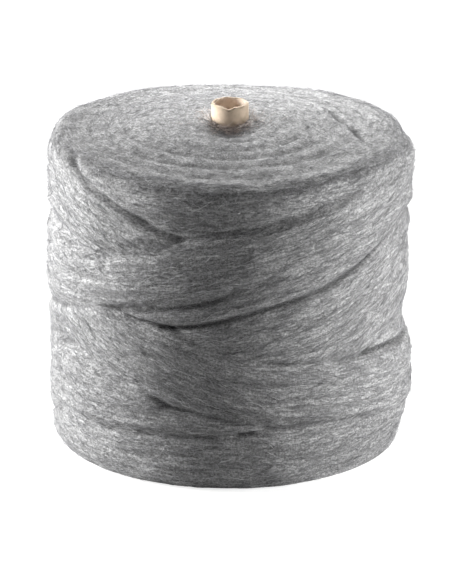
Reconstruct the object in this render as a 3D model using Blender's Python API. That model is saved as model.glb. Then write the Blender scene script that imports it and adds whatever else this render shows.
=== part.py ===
"""Steel wool roll: a reel of wide steel wool ribbon, wound crosswise on a cardboard tube.

Units are metres, +Z is up and the roll stands on its end with the middle of its underside
at the origin. Azimuths are in degrees from the front (-Y) towards +X.
"""

import math

import bmesh
import bpy
import numpy as np

# Driving sizes of the roll
ROLL_DIAMETER = 0.300       # over the fattest ribbon passes
ROLL_HEIGHT = 0.260         # underside to the rim of the top at the sides
RIM_SAG = 0.004             # the rim is this much lower at the front and the back
CROWN_RISE = 0.011          # the top turns climb this much from the rim to the tube
FOOT_LOSS = 0.004           # the lower edge is rounded in by this much
FOOT_HEIGHT = 0.014         # and over this height
SHOULDER_LOSS = 0.016       # the upper edge is rounded in by this much
SHOULDER_HEIGHT = 0.011     # and over this height
FOOT_TUCK = 0.0065          # the lowest turns draw in by this much more on the right
TUCK_HEIGHT = 0.034         # over this height
TUCK_SPAN = (15.0, 110.0)   # between these azimuths
TUCK_FADE = 20.0            # degrees over which that sets in
REAR_RISE = 0.0025          # of the rim at the back corners, which stand a little higher
NECK_TAPER = 0.002          # the turns under the outer passes draw in by this much
NECK_HEIGHT = 0.050         # over this height below the shoulder

# Driving sizes of the ribbon
RIBBON_WIDTH = 0.080        # of a ribbon pass that lies flat
RIBBON_THICKNESS = 0.0040   # of one layer of ribbon under winding tension
RIBBON_SWELL = 0.0030       # a pass swells this much from its edges to its middle
SWELL_POWER = 4.0           # of that swelling: more is flatter
EDGE_POWER = 8.0            # of the rounding of a pass at its edges: more is squarer
LOOSE_POWER = 2.5           # the same where an edge lies loose
PINCH_DEPTH = 0.0070        # a pass presses this deep into the wool beside its edges
PINCH_WIDTH = 0.0055        # and over this width
TURN_PITCH = 0.0190         # from one turn's edge to the next on the top
TURN_RELIEF = 0.0026        # height of those turn edges
TURN_WANDER = 0.0030        # how far a turn strays from a true circle
TURN_SHAPE = ((0.0, 0.0), (0.28, 0.85), (0.62, 1.0))    # places in a pitch and their heights
FIRST_TURN = 0.4            # pitches from the shoulder to the outermost turn edge

# Driving sizes of the cardboard tube
CORE_DIAMETER = 0.0305
CORE_WALL = 0.0028
CORE_LENGTH = 0.285
RIM_NOTCH_DEPTH = 0.0026    # dent in the front of the torn rim
RIM_NOTCH_WIDTH = 0.0060
RIM_WAVE = 0.0007           # unevenness of the rest of the rim
RIM_WAVES = (3, 7)          # waves of it round the rim
RIM_ROUNDING = 0.0006
RIM_DEPTH = 0.006           # how far down the tube the rim's wear reaches
RIM_NOTCH_AZIMUTH = -6.0    # degrees
CORE_CLEARANCE = 0.0003     # between the tube and the wool round it

# Fineness of the meshes
COLUMNS = 84                # round the roll
WALL_ROWS = 33              # up the wall
EVENING = 1.4               # mesh spacings over which the wall's relief is evened out
EDGE_ROWS = 3               # round each rounded edge
CORE_SIDES = 40
SHARP_ANGLE = 50.0          # degrees from which an edge is shaded sharp

# Colours, linear
WOOL_GREY = (0.30, 0.30, 0.31)
KRAFT = (0.62, 0.46, 0.30)

# The outer ribbon passes, the undermost first. Each has its layer and its route: azimuth in
# degrees, height as a share of the roll's height, and width as a share of the ribbon's.
PASSES = (
    (0.3, ((-178, 0.07, 0.75), (0, 0.075, 0.75), (178, 0.07, 0.75))),
    (0.3, ((-178, 0.90, 1.2), (0, 0.90, 1.2), (178, 0.90, 1.2))),
    (-0.2, ((-5, -0.18, 1.0), (17, -0.11, 1.0), (34, -0.035, 1.0), (50, 0.03, 1.0),
            (70, 0.08, 1.0), (110, 0.15, 1.0), (170, 0.32, 1.0))),
    (0.8, ((100, 0.95, 1.0), (140, 0.80, 1.0), (200, 0.60, 1.0), (250, 0.40, 1.0),
           (300, 0.33, 1.0))),
    (0.3, ((-35, 0.40, 0.95), (9, 0.475, 1.0), (34, 0.51, 1.03), (57, 0.581, 1.12),
           (72, 0.628, 1.17), (110, 0.66, 1.05), (165, 0.78, 1.0))),
    (0.95, ((-150, 0.25, 1.0), (-100, 0.21, 1.05), (-80, 0.24, 0.92), (-70, 0.263, 0.70),
            (-43, 0.27, 0.74), (-14, 0.27, 0.60), (20, 0.285, 0.55), (45, 0.27, 0.50))),
    (1.0, ((-55, 0.62, 0.70), (-17, 0.65, 0.79), (9, 0.728, 0.87), (34, 0.775, 0.84),
           (57, 0.815, 0.53), (72, 0.85, 0.42), (105, 0.87, 0.80), (150, 0.84, 1.0))),
    (1.05, ((-90, 0.60, 0.75), (-75, 0.54, 0.60), (-46, 0.457, 0.68), (-17, 0.392, 0.82),
            (9, 0.316, 0.66), (34, 0.287, 0.64), (52, 0.27, 0.72), (68, 0.251, 0.75),
            (90, 0.215, 0.65), (130, 0.29, 1.0), (180, 0.42, 1.0))),
    (1.15, ((-135, 0.93, 0.90), (-90, 0.90, 0.90), (-75, 0.88, 0.83), (-60, 0.855, 0.73),
            (-46, 0.80, 0.75), (-32, 0.765, 0.69), (-19, 0.738, 0.57), (5, 0.70, 0.55))),
    (1.0, ((125, 0.06, 1.0), (160, 0.20, 1.0), (195, 0.42, 1.0), (225, 0.62, 1.0),
           (255, 0.80, 1.0), (285, 0.90, 0.90))),
    (1.3, ((-150, 0.49, 1.0), (-90, 0.61, 1.0), (-70, 0.63, 0.90), (-46, 0.655, 0.66),
           (-18, 0.705, 0.72), (9, 0.77, 0.66), (34, 0.825, 0.66), (57, 0.86, 0.60),
           (75, 0.885, 0.62), (90, 0.87, 0.70), (150, 0.74, 0.95), (200, 0.57, 1.0))),
)
ROUTE_FADE = 22.0           # degrees over which a pass slips under the others at its ends
ROUTE_SMOOTHING = 8.0       # degrees over which its bends are evened out

# Edges that press harder or more softly than most: number of the pass, its upper (1) or lower
# (-1) edge, from and to which azimuth, and how hard
EDGE_GRIPS = (
    (0, 1, -60, 40, 0.40),
    (2, 1, -20, 180, 0.12), (2, -1, -20, 180, 0.12), (4, -1, 10, 80, 0.50),
    (5, -1, -110, -45, 0.30), (5, -1, -40, 2, 0.55), (5, -1, 8, 60, 0.10),
    (6, -1, -25, 85, 1.00),
    (7, 1, -48, -17, 0.90), (7, 1, -12, 8, 0.10), (7, 1, 14, 50, 0.55), (7, 1, 54, 85, 1.00),
    (7, -1, -95, -25, 0.05), (7, -1, -20, 10, 0.60), (7, -1, 14, 95, 0.08),
    (8, 1, -85, -12, 1.00), (8, -1, -85, 10, 0.20),
    (10, 1, -95, -36, 0.12), (10, 1, -32, -10, 0.50), (10, 1, 4, 75, 0.08),
    (10, -1, -75, -40, 0.40), (10, -1, -38, -8, 0.90), (10, -1, -2, 75, 0.05),
)
GRIP_FADE = 6.0             # degrees over which one grip gives way to the next


def clear_scene():
    """Remove whatever the scene holds."""
    for old in list(bpy.data.objects):
        bpy.data.objects.remove(old, do_unlink=True)


def plain_material(name, colour, roughness, metallic):
    """Make one Principled BSDF material."""
    material = bpy.data.materials.new(name)
    material.use_nodes = True
    shader = material.node_tree.nodes["Principled BSDF"]
    shader.inputs["Base Color"].default_value = (*colour, 1.0)
    shader.inputs["Roughness"].default_value = roughness
    shader.inputs["Metallic"].default_value = metallic
    material.diffuse_color = (*colour, 1.0)
    return material


def smooth_step(share):
    """Ease from 0 to 1 with level ends."""
    held = np.clip(share, 0.0, 1.0)
    return held * held * (3.0 - 2.0 * held)


def follow_route(route, azimuth):
    """A pass's middle height and half width at each azimuth, and its fade at its ends."""
    degrees, shares, widths = np.array(route, dtype=float).T
    middle = (degrees[0] + degrees[-1]) / 2.0
    along = (azimuth - middle + 180.0) % 360.0 - 180.0 + middle
    steps = np.linspace(-ROUTE_SMOOTHING, ROUTE_SMOOTHING, 5)
    share = np.mean([np.interp(along + step, degrees, shares) for step in steps], axis=0)
    width = np.mean([np.interp(along + step, degrees, widths) for step in steps], axis=0)
    to_end = np.minimum(along - degrees[0], degrees[-1] - along)
    fade = smooth_step(to_end / ROUTE_FADE)
    return share * ROLL_HEIGHT, width * RIBBON_WIDTH / 2.0, fade


def edge_grip(number, upper, azimuth, grip):
    """How hard a pass's edge presses in: as listed, or else the grip that is given."""
    for listed, side, start, end, share in EDGE_GRIPS:
        if listed == number:
            window = smooth_step((azimuth - start) / GRIP_FADE + 0.5)
            window = window * smooth_step((end - azimuth) / GRIP_FADE + 0.5)
            grip = grip + (share - grip) * window * (upper == (side > 0))
    return grip


def foot_tuck(azimuth, height):
    """How far the lowest turns draw in on the right, where the reel has been set down."""
    start, end = TUCK_SPAN
    round_share = smooth_step((azimuth - start) / TUCK_FADE)
    round_share = round_share * smooth_step((end - azimuth) / TUCK_FADE)
    return FOOT_TUCK * round_share * smooth_step(1.0 - height / TUCK_HEIGHT)


def wall_relief(azimuth, height):
    """How far the outer passes stand out from the turns beneath them."""
    neck = ROLL_HEIGHT - SHOULDER_HEIGHT - NECK_HEIGHT
    relief = -NECK_TAPER * smooth_step((height - neck) / NECK_HEIGHT)
    for number, (layer, route) in enumerate(PASSES):
        middle, half_width, fade = follow_route(route, azimuth)
        across = np.abs(height - middle) / half_width
        outside = np.maximum(across - 1.0, 0.0) * half_width
        grip = edge_grip(number, height > middle, azimuth, np.ones_like(height))
        pinch = PINCH_DEPTH * grip * fade * np.exp(-(outside / PINCH_WIDTH) ** 2)
        pinched = relief - pinch
        swell = RIBBON_SWELL * np.clip(1.0 - across ** SWELL_POWER, 0.0, 1.0)
        power = LOOSE_POWER + (EDGE_POWER - LOOSE_POWER) * np.minimum(3.0 * grip, 1.0)
        edge = np.sqrt(np.clip(1.0 - across ** power, 0.0, 1.0))
        body = (RIBBON_THICKNESS * layer + swell) * edge
        covers = fade * (across < 1.0) * (body > pinched)
        relief = pinched + (body - pinched) * covers
    return relief - foot_tuck(azimuth, height)


def soft_relief(azimuth, height):
    """The wall's relief, evened out so that its steps suit the mesh."""
    reach_round = EVENING * 180.0 / COLUMNS
    reach_up = EVENING * ROLL_HEIGHT / WALL_ROWS / 2.0
    shares = np.linspace(-1.0, 1.0, 5)
    total = sum(
        wall_relief(azimuth + reach_round * aside, height + reach_up * above)
        for aside in shares
        for above in shares
    )
    return total / len(shares) ** 2


def wall_allowance():
    """What the fattest passes add to the radius of the turns beneath them."""
    return max(RIBBON_THICKNESS * layer for layer, _ in PASSES) + RIBBON_SWELL


def turn_wander(radius, azimuth):
    """How far the turn edges on the top stray from true circles."""
    turn = np.radians(azimuth)
    drift = radius / TURN_PITCH
    return TURN_WANDER * (np.sin(turn + drift) + 0.5 * np.sin(2.0 * turn - 1.7 * drift))


def winding_profile():
    """Half section of the winding: from the bore's foot round the outside to the bore's top.

    Each point is its radius, its height, and how much of the wall's and of the top's relief
    it takes.
    """
    outer = ROLL_DIAMETER / 2.0 - wall_allowance()
    bore = CORE_DIAMETER / 2.0 + CORE_CLEARANCE
    foot = outer - FOOT_LOSS
    brow = outer - SHOULDER_LOSS
    wall_top = ROLL_HEIGHT - SHOULDER_HEIGHT
    quarter = np.linspace(0.0, math.pi / 2.0, EDGE_ROWS + 1)
    points = [(bore, 0.0, 0.0, 0.0)]
    for turn in quarter:
        radius = foot + FOOT_LOSS * math.sin(turn)
        points.append((radius, FOOT_HEIGHT * (1.0 - math.cos(turn)), math.sin(turn), 0.0))
    for height in np.linspace(FOOT_HEIGHT, wall_top, WALL_ROWS + 1)[1:-1]:
        points.append((outer, height, 1.0, 0.0))
    for turn in quarter:
        radius = brow + SHOULDER_LOSS * math.cos(turn)
        height = wall_top + SHOULDER_HEIGHT * math.sin(turn)
        points.append((radius, height, math.cos(turn), math.sin(turn)))
    turns = max(2, round((brow - bore) / TURN_PITCH))
    for turn in range(turns):
        for place, rise in TURN_SHAPE:
            share = (turn + place + FIRST_TURN) / (turns + FIRST_TURN)
            radius = brow + (bore - brow) * share
            height = ROLL_HEIGHT + CROWN_RISE * smooth_step(share) + TURN_RELIEF * (rise - 1.0)
            points.append((radius, height, 0.0, smooth_step((1.0 - share) * turns)))
    points.append((bore, ROLL_HEIGHT + CROWN_RISE, 0.0, 0.0))
    return points


def tube_profile():
    """Section of the cardboard tube's wall, with its top edges eased.

    Each point is its radius, its height, and how much of the torn rim's shape it takes.
    """
    outer = CORE_DIAMETER / 2.0
    inner = outer - CORE_WALL
    shoulder = CORE_LENGTH - RIM_ROUNDING
    neck = CORE_LENGTH - RIM_DEPTH
    return [
        (inner, 0.0, 0.0),
        (outer, 0.0, 0.0),
        (outer, neck, 0.0),
        (outer, shoulder, 1.0),
        (outer - RIM_ROUNDING, CORE_LENGTH, 1.0),
        (inner + RIM_ROUNDING, CORE_LENGTH, 1.0),
        (inner, shoulder, 1.0),
        (inner, neck, 0.0),
    ]


def turn_round(name, points, weight_names, sides):
    """Turn a closed section round the Z axis; its points' weights become attributes."""
    shape = bmesh.new()
    weights = [shape.verts.layers.float.new(weight) for weight in weight_names]
    ring = []
    for radius, height, *shares in points:
        vert = shape.verts.new((radius, 0.0, height))
        for layer, share in zip(weights, shares):
            vert[layer] = share
        ring.append(vert)
    edges = [shape.edges.new(pair) for pair in zip(ring, ring[1:] + ring[:1])]
    bmesh.ops.spin(shape, geom=ring + edges, cent=(0, 0, 0), axis=(0, 0, 1),
                   angle=2.0 * math.pi, steps=sides, use_merge=True)
    bmesh.ops.recalc_face_normals(shape, faces=shape.faces)
    mesh = bpy.data.meshes.new(name)
    shape.to_mesh(mesh)
    shape.free()
    return mesh


def read_points(mesh):
    """The mesh's points as an array of rows."""
    flat = np.empty(len(mesh.vertices) * 3)
    mesh.vertices.foreach_get("co", flat)
    return flat.reshape(-1, 3)


def read_weight(mesh, name):
    """One of the mesh's weights as an array."""
    values = np.empty(len(mesh.vertices))
    mesh.attributes[name].data.foreach_get("value", values)
    return values


def from_front(points):
    """Azimuth of each point in degrees from the front (-Y) towards +X."""
    return np.degrees(np.arctan2(points[:, 0], -points[:, 1]))


def place_object(name, mesh, material):
    """Put a finished mesh in the scene, shaded smooth up to its sharp edges."""
    mesh.materials.append(material)
    mesh.shade_smooth()
    mesh.set_sharp_from_angle(angle=math.radians(SHARP_ANGLE))
    mesh.update()
    made = bpy.data.objects.new(name, mesh)
    bpy.context.scene.collection.objects.link(made)
    return made


def make_winding():
    """The wool: turned round the tube, then pressed into the shape of its ribbon passes."""
    mesh = turn_round("wool_winding", winding_profile(), ("wall", "top"), COLUMNS)
    points = read_points(mesh)
    azimuth = from_front(points)
    radius = np.hypot(points[:, 0], points[:, 1])
    top = read_weight(mesh, "top")
    stand_out = soft_relief(azimuth, points[:, 2]) * read_weight(mesh, "wall")
    wander = turn_wander(radius, azimuth) * top
    turn = np.radians(azimuth)
    sag = RIM_SAG * np.cos(turn) ** 2
    sag = sag - REAR_RISE * np.sin(turn) ** 2 * np.maximum(-np.cos(turn), 0.0)
    sag = sag * (2.0 * radius / ROLL_DIAMETER) ** 2
    points[:, :2] *= ((radius + stand_out + wander) / radius)[:, None]
    points[:, 2] -= sag * top
    mesh.vertices.foreach_set("co", points.ravel())
    return place_object("wool_winding", mesh, plain_material("steel_wool", WOOL_GREY, 0.5, 0.3))


def make_core():
    """The cardboard tube: turned, then its rim worn uneven and dented at the front."""
    mesh = turn_round("cardboard_core", tube_profile(), ("rim",), CORE_SIDES)
    points = read_points(mesh)
    azimuth = from_front(points)
    arc = (azimuth - RIM_NOTCH_AZIMUTH) * math.pi / 180.0 * CORE_DIAMETER / 2.0
    notch = RIM_NOTCH_DEPTH * np.exp(-(arc / RIM_NOTCH_WIDTH * 2.0) ** 2)
    turn = np.radians(azimuth)
    wave = RIM_WAVE * np.mean([np.sin(count * (turn + 0.2)) for count in RIM_WAVES], axis=0)
    points[:, 2] -= (notch + RIM_WAVE + wave) * read_weight(mesh, "rim")
    mesh.vertices.foreach_set("co", points.ravel())
    return place_object("cardboard_core", mesh, plain_material("cardboard", KRAFT, 0.85, 0.0))


clear_scene()
make_winding()
make_core()
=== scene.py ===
# %% [markdown]
# # A roll of steel wool
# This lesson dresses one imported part: a five kilogram reel of steel wool. A wide, flat ribbon
# of loose steel fibres is wound crosswise on a cardboard tube, and the reel stands on its end.
# The looks come from three things: a finely shaped body of wool, many thousand separate
# fibres that lie on it, and a worn cardboard tube.

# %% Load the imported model
import math

import bpy
import numpy as np
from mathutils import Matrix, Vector


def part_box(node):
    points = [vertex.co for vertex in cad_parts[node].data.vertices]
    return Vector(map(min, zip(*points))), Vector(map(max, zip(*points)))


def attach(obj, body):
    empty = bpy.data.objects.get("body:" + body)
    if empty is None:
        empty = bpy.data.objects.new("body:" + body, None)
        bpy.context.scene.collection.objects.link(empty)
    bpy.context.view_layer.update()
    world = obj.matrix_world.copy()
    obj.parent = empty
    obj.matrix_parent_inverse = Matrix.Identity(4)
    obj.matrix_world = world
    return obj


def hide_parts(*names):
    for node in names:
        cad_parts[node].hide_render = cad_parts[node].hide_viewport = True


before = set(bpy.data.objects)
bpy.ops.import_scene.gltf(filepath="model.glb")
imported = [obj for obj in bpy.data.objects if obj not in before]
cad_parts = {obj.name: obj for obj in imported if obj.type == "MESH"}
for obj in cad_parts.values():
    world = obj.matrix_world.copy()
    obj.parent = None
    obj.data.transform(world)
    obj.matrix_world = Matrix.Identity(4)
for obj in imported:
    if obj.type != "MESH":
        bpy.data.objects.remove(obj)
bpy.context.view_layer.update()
WOOL_LOW, WOOL_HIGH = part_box("wool_winding")
TUBE_LOW, TUBE_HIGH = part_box("cardboard_core")
print("wool", [round(high - low, 4) for low, high in zip(WOOL_LOW, WOOL_HIGH)], "metres")

# %% [markdown]
# ## Sizes
# The roll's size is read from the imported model. Only the shape of the ribbon is added: how
# wide a pass lies, how thick one layer is, and how deep its edge presses into the wool beside
# it. On a real reel those edges are the dark creases that are seen from across a room.

# %% Sizes of the roll and its ribbon
ROLL_RADIUS = (WOOL_HIGH[0] - WOOL_LOW[0]) / 2
TUBE_RADIUS = (TUBE_HIGH[0] - TUBE_LOW[0]) / 2
CROWN_RISE = 0.011
RIM_HEIGHT = WOOL_HIGH[2] - CROWN_RISE
RIM_SAG = 0.004
FOOT_LOSS, FOOT_HEIGHT = 0.004, 0.014
SHOULDER_LOSS, SHOULDER_HEIGHT = 0.016, 0.011
NECK_TAPER, NECK_HEIGHT = 0.002, 0.050
RIBBON_WIDTH, RIBBON_THICKNESS = 0.080, 0.0040
RIBBON_SWELL, SWELL_POWER = 0.0030, 4.0
EDGE_POWER, LOOSE_POWER = 12.0, 2.5
FOOT_TUCK, TUCK_HEIGHT, TUCK_SPAN, TUCK_FADE = 0.0065, 0.034, (15.0, 110.0), 20.0
REAR_RISE = 0.0025
PINCH_DEPTH, PINCH_WIDTH = 0.0060, 0.0024
TURN_PITCH, TURN_RELIEF, TURN_WANDER = 0.0190, 0.0024, 0.0030
BORE_RADIUS = TUBE_RADIUS + 0.0003
FRONT_HOLLOW = 0.0040
print("roll", round(2 * ROLL_RADIUS, 4), "across, rim at", round(RIM_HEIGHT, 4))

# %% [markdown]
# ## The ribbon's passes
# A winding machine lays the ribbon in slanting passes that cross each other. Only the last
# eleven show. Modelled as strips they would overlap, so the wool is one surface, and a rule
# says how far it stands out at each azimuth and height: every pass swells to its middle, and
# presses a groove beside itself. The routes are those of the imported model.

# %% The passes: layer, then azimuth in degrees, height and width as shares
PASSES = (
    (0.3, ((-178, 0.07, 0.75), (0, 0.075, 0.75), (178, 0.07, 0.75))),
    (0.3, ((-178, 0.90, 1.2), (0, 0.90, 1.2), (178, 0.90, 1.2))),
    (-0.2, ((-5, -0.18, 1.0), (17, -0.11, 1.0), (34, -0.035, 1.0), (50, 0.03, 1.0),
            (70, 0.08, 1.0), (110, 0.15, 1.0), (170, 0.32, 1.0))),
    (0.8, ((100, 0.95, 1.0), (140, 0.80, 1.0), (200, 0.60, 1.0), (250, 0.40, 1.0),
           (300, 0.33, 1.0))),
    (0.3, ((-35, 0.40, 0.95), (9, 0.475, 1.0), (34, 0.51, 1.03), (57, 0.581, 1.12),
           (72, 0.628, 1.17), (110, 0.66, 1.05), (165, 0.78, 1.0))),
    (0.95, ((-150, 0.25, 1.0), (-100, 0.21, 1.05), (-80, 0.24, 0.92), (-70, 0.263, 0.70),
            (-43, 0.27, 0.74), (-14, 0.27, 0.60), (20, 0.285, 0.55), (45, 0.27, 0.50))),
    (1.0, ((-55, 0.62, 0.70), (-17, 0.65, 0.79), (9, 0.728, 0.87), (34, 0.775, 0.84),
           (57, 0.815, 0.53), (72, 0.85, 0.42), (105, 0.87, 0.80), (150, 0.84, 1.0))),
    (1.05, ((-90, 0.60, 0.75), (-75, 0.54, 0.60), (-46, 0.457, 0.68), (-17, 0.392, 0.82),
            (9, 0.316, 0.66), (34, 0.287, 0.64), (52, 0.27, 0.72), (68, 0.251, 0.75),
            (90, 0.215, 0.65), (130, 0.29, 1.0), (180, 0.42, 1.0))),
    (1.15, ((-135, 0.93, 0.90), (-90, 0.90, 0.90), (-75, 0.88, 0.83), (-60, 0.855, 0.73),
            (-46, 0.80, 0.75), (-32, 0.765, 0.69), (-19, 0.738, 0.57), (5, 0.70, 0.55))),
    (1.0, ((125, 0.06, 1.0), (160, 0.20, 1.0), (195, 0.42, 1.0), (225, 0.62, 1.0),
           (255, 0.80, 1.0), (285, 0.90, 0.90))),
    (1.3, ((-150, 0.49, 1.0), (-90, 0.61, 1.0), (-70, 0.63, 0.90), (-46, 0.655, 0.66),
           (-18, 0.705, 0.72), (9, 0.77, 0.66), (34, 0.825, 0.66), (57, 0.86, 0.60),
           (75, 0.885, 0.62), (90, 0.87, 0.70), (150, 0.74, 0.95), (200, 0.57, 1.0))),
)
ROUTE_FADE, ROUTE_SMOOTHING = 22.0, 8.0

# Edges that press harder or more softly than most: number of the pass, its upper (1) or lower
# (-1) edge, from and to which azimuth, and how hard
EDGE_GRIPS = (
    (0, 1, -60, 40, 0.40),
    (2, 1, -20, 180, 0.12), (2, -1, -20, 180, 0.12), (4, -1, 10, 80, 0.50),
    (5, -1, -110, -45, 0.30), (5, -1, -40, 2, 0.40), (5, -1, 8, 60, 0.10),
    (6, -1, -25, 85, 1.00),
    (7, 1, -48, -17, 0.90), (7, 1, -12, 8, 0.10), (7, 1, 14, 50, 0.55), (7, 1, 54, 85, 1.00),
    (7, -1, -95, -25, 0.05), (7, -1, -20, 10, 0.45), (7, -1, 14, 95, 0.08),
    (8, 1, -85, -26, 1.00), (8, 1, -23, -12, 0.35), (8, -1, -85, 10, 0.20),
    (10, 1, -95, -36, 0.12), (10, 1, -32, -10, 0.20), (10, 1, 4, 75, 0.08),
    (10, -1, -75, -40, 0.40), (10, -1, -38, -8, 0.90), (10, -1, -2, 75, 0.05),
)
GRIP_FADE = 6.0             # degrees over which one grip gives way to the next


def smooth_step(share):
    """Ease from 0 to 1 with level ends."""
    held = np.clip(share, 0.0, 1.0)
    return held * held * (3.0 - 2.0 * held)


def follow_route(route, azimuth):
    """A pass's middle height, half width, slope and fade at each azimuth."""
    degrees, shares, widths = np.array(route, dtype=float).T
    middle = (degrees[0] + degrees[-1]) / 2.0
    along = (azimuth - middle + 180.0) % 360.0 - 180.0 + middle
    steps = np.linspace(-ROUTE_SMOOTHING, ROUTE_SMOOTHING, 5)
    share, width = (np.mean([np.interp(along + step, degrees, table) for step in steps], axis=0)
                    for table in (shares, widths))
    before, after = (np.interp(along + step, degrees, shares) for step in (steps[0], steps[-1]))
    arc = math.radians(2.0 * ROUTE_SMOOTHING) * ROLL_RADIUS
    slope = np.arctan((after - before) * RIM_HEIGHT / arc)
    to_end = np.minimum(along - degrees[0], degrees[-1] - along)
    fade = smooth_step(to_end / ROUTE_FADE)
    return share * RIM_HEIGHT, width * RIBBON_WIDTH / 2.0, slope, fade, np.radians(along)


def window(azimuth, start, end, fade, lead=0.0):
    """1 between two azimuths, easing to 0 at both."""
    return (smooth_step((azimuth - start) / fade + lead)
            * smooth_step((end - azimuth) / fade + lead))


def edge_grip(number, upper, azimuth, grip):
    """How hard a pass's edge presses in: as listed, or else the grip that is given."""
    for listed, side, start, end, share in EDGE_GRIPS:
        if listed == number:
            here = window(azimuth, start, end, GRIP_FADE, 0.5)
            grip = grip + (share - grip) * here * (upper == (side > 0))
    return grip


def foot_tuck(azimuth, height):
    """How far the lowest turns draw in on the right, where the reel has been set down."""
    here = window(azimuth, *TUCK_SPAN, TUCK_FADE)
    return FOOT_TUCK * here * smooth_step(1.0 - height / TUCK_HEIGHT)


print(len(PASSES), "passes of ribbon show")

# %% [markdown]
# ## Noise that runs with the fibres
# Steel wool has no smooth place on it. Blender's own noise would have to be called for each
# point, so this lesson makes a small value noise in numpy: random numbers on a lattice, eased
# from one to the next.

# %% A small value noise
def lattice_noise(along, across, seed):
    """Smooth noise from -1 to 1 on two lengths that are given in cells."""
    table = np.random.default_rng(seed).uniform(-1.0, 1.0, (256, 256))
    column, row = np.floor(along).astype(int), np.floor(across).astype(int)
    right, above = smooth_step(along - column), smooth_step(across - row)
    near, far = (table[line % 256, column % 256] * (1 - right)
                 + table[line % 256, (column + 1) % 256] * right for line in (row, row + 1))
    return near * (1 - above) + far * above


print("noise at a point", round(float(lattice_noise(np.array(0.3), np.array(0.7), 1)), 3))

# %% [markdown]
# ## Which pass lies on top
# The rule also has to say which pass is uppermost at a place, because the fibres there are
# combed along it: it gives their slope, and two lengths along and across the ribbon for the
# grain. An edge grips harder below, and where it steps down far. The end of a pass goes under
# in rags, because a straight cut there would catch the eye.

# %% The winding's relief
PLAIN_GRIP, LOWER_GRIP, STEP_GRIP, FULL_STEP = 0.30, 0.35, 0.60, 0.008
UNEVEN_GRIP, UNEVEN_LENGTH, FIRMNESS = 0.35, 0.022, 3.0
RAG_MIDDLE, RAG_SHARE, RAG_HEIGHT, RAG_DEGREES = 0.5, 0.45, 0.0040, 9.0


def winding_at(azimuth, height):
    """Relief, slope, crease, places along and across the uppermost pass, and bare turns."""
    neck = RIM_HEIGHT - SHOULDER_HEIGHT - NECK_HEIGHT
    relief = -NECK_TAPER * smooth_step((height - neck) / NECK_HEIGHT)
    slope = np.zeros_like(height)
    crease_shade = np.zeros_like(height)
    along = np.radians(azimuth) * ROLL_RADIUS
    across = height + 0.0
    bare = np.ones_like(height)
    ragged = lattice_noise(height / RAG_HEIGHT, azimuth / RAG_DEGREES, 19)
    ragged = RAG_MIDDLE + RAG_SHARE * ragged
    for number, (layer, route) in enumerate(PASSES):
        middle, half_width, climb, fade, turn = follow_route(route, azimuth)
        share = np.abs(height - middle) / half_width
        outside = np.maximum(share - 1.0, 0.0) * half_width
        step = RIBBON_THICKNESS * layer + RIBBON_SWELL / 2 - relief
        tight = PLAIN_GRIP + LOWER_GRIP * (height < middle)
        tight = tight + STEP_GRIP * np.clip(step / FULL_STEP, 0, 1)
        tight = edge_grip(number, height > middle, azimuth, tight)
        uneven = lattice_noise(turn * ROLL_RADIUS / UNEVEN_LENGTH,
                               number + 0.5 * (height < middle), 17)
        pinch = np.minimum(tight * (1 + UNEVEN_GRIP * uneven), 1) * fade
        pinch = pinch * np.exp(-(outside / PINCH_WIDTH) ** 2)
        pinched = relief - PINCH_DEPTH * pinch
        swell = RIBBON_SWELL * np.clip(1.0 - share ** SWELL_POWER, 0.0, 1.0)
        power = LOOSE_POWER + (EDGE_POWER - LOOSE_POWER) * np.minimum(FIRMNESS * tight, 1.0)
        edge = np.sqrt(np.clip(1.0 - share ** power, 0.0, 1.0))
        body = (RIBBON_THICKNESS * layer + swell) * edge
        cover = fade * (share < 1.0) * (body > pinched)
        on_top = cover > ragged
        relief = pinched + (body - pinched) * cover
        # The crease mask: how hard an uncovered edge pinches the wool; the material paints it as
        # shade
        crease_shade = np.maximum(crease_shade, pinch) * (1.0 - cover)
        bare = bare * (1.0 - cover)
        slope = np.where(on_top, climb, slope)
        along = np.where(on_top, turn * ROLL_RADIUS, along)
        across = np.where(on_top, height - middle + number, across)
    return relief - foot_tuck(azimuth, height), slope, crease_shade, along, across, bare


middle = winding_at(np.array(0.0), np.array(RIM_HEIGHT / 2))
print("relief in the middle of the front", round(float(middle[0]), 4))

# %% [markdown]
# ## The roll's section
# Cut in half, the roll's outline is a closed loop: out along the underside, round the foot,
# up the wall, over the shoulder, in over the top to the tube, and down the bore. A list of
# rows walks along it. Each row knows which way is out, and how much of the wall's relief and
# of the top's turns it takes.

# %% Rows of the section
WALL_RADIUS = ROLL_RADIUS - max(layer for layer, _ in PASSES) * RIBBON_THICKNESS - RIBBON_SWELL
BROW_RADIUS = WALL_RADIUS - SHOULDER_LOSS
WALL_TOP = RIM_HEIGHT - SHOULDER_HEIGHT
FIRST_TURN = 0.4
TURNS = round((BROW_RADIUS - BORE_RADIUS) / TURN_PITCH)
UNDER_ROWS, FOOT_ROWS, WALL_ROWS, SHOULDER_ROWS, TOP_ROWS, BORE_ROWS = 5, 6, 148, 12, 50, 1
COLUMNS = 430


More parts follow.
